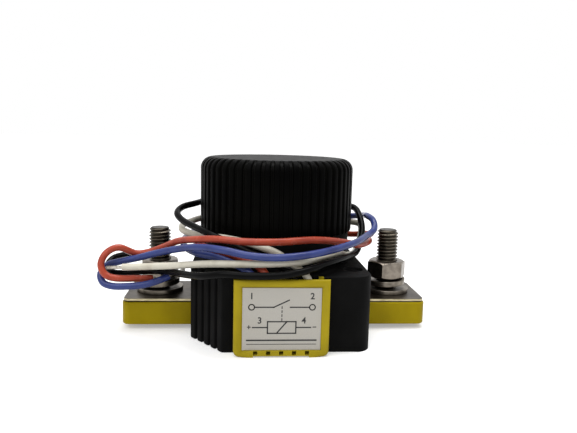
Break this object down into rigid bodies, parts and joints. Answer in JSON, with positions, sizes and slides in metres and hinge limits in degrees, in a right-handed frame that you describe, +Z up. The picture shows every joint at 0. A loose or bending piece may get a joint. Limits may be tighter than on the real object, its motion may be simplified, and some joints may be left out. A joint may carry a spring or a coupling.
{
  "type": "high voltage dc contactor",
  "caption": "Sealed DC contactor with a ribbed round coil cap on a block base, stud terminals on yellow wings, a label frame and flying leads wound round its neck.",
  "frame": {"origin": "middle of the flat mounting face under the base, on the cap's axis", "axes": "+X from the left stud to the right stud, -Y towards the label, +Z up through the cap"},
  "size_m": [0.1176, 0.0802, 0.0615],
  "materials": {
    "black_plastic": "satin moulded",
    "yellow_plastic": "satin moulded",
    "terminal_metal": "plated, slightly dull",
    "steel": "stainless, machined",
    "label": "printed foil",
    "potting": "cast resin",
    "copper": "drawn",
    "contact_alloy": "silver alloy",
    "chamber_ceramic": "fired",
    "magnet": "sintered",
    "core_iron": "zinc plated",
    "bobbin_plastic": "moulded",
    "brass": "drawn",
    "bumper_rubber": "moulded",
    "board": "solder mask",
    "component_plastic": "moulded",
    "red_insulation": "extruded",
    "blue_insulation": "extruded",
    "white_insulation": "extruded",
    "black_insulation": "extruded",
    "tinned_wire": "tinned copper"
  },
  "bodies": {
    "housing": {"base_housing": "black_plastic", "bottom_cover": "black_plastic", "top_cap": "black_plastic", "terminal_header": "yellow_plastic", "left_terminal_plate": "terminal_metal", "right_terminal_plate": "terminal_metal", "left_stud": "steel", "right_stud": "steel", "left_flat_washer": "steel", "right_flat_washer": "steel", "left_lock_washer": "steel", "right_lock_washer": "steel", "left_nut": "steel", "right_nut": "steel", "label_cover": "yellow_plastic", "label_plate": "label", "left_fixed_contact": "contact_alloy", "right_fixed_contact": "contact_alloy", "arc_chamber": "chamber_ceramic", "front_magnet": "magnet", "rear_magnet": "magnet", "yoke_plate": "core_iron", "yoke_cup": "core_iron", "coil_bobbin": "bobbin_plastic", "coil_winding": "copper", "guide_sleeve": "brass", "fixed_core": "core_iron", "return_spring": "steel", "stop_pad": "bumper_rubber", "control_board": "board", "board_components": "component_plastic", "auxiliary_switch": "component_plastic", "lead_potting": "potting", "red_lead": "red_insulation", "blue_lead": "blue_insulation", "white_lead": "white_insulation", "black_lead": "black_insulation", "red_tip": "tinned_wire", "blue_tip": "tinned_wire", "white_tip": "tinned_wire", "black_tip": "tinned_wire"},
    "plunger_assembly": {"plunger": "core_iron", "plunger_shaft": "steel", "spring_seat": "steel", "bridge_clip": "steel", "contact_spring": "steel"},
    "bridge_assembly": {"moving_bridge": "copper", "left_bridge_contact": "contact_alloy", "right_bridge_contact": "contact_alloy"}
  },
  "joints": [
    {"name": "plunger_slide", "type": "slide", "parent": "housing", "child": "plunger_assembly", "axis": [0, 0, -1], "range_m": [0, 0.0023], "stiffness_N_per_m": 900, "springref_m": -0.006, "deforming": ["return_spring"]},
    {"name": "bridge_slide", "type": "slide", "parent": "plunger_assembly", "child": "bridge_assembly", "axis": [0, 0, 1], "range_m": [0, 0.00061], "deforming": ["contact_spring"]}
  ],
  "couplings": [
    {"joint": "bridge_slide", "follows": "plunger_slide", "ratio": 0.26087}
  ]
}
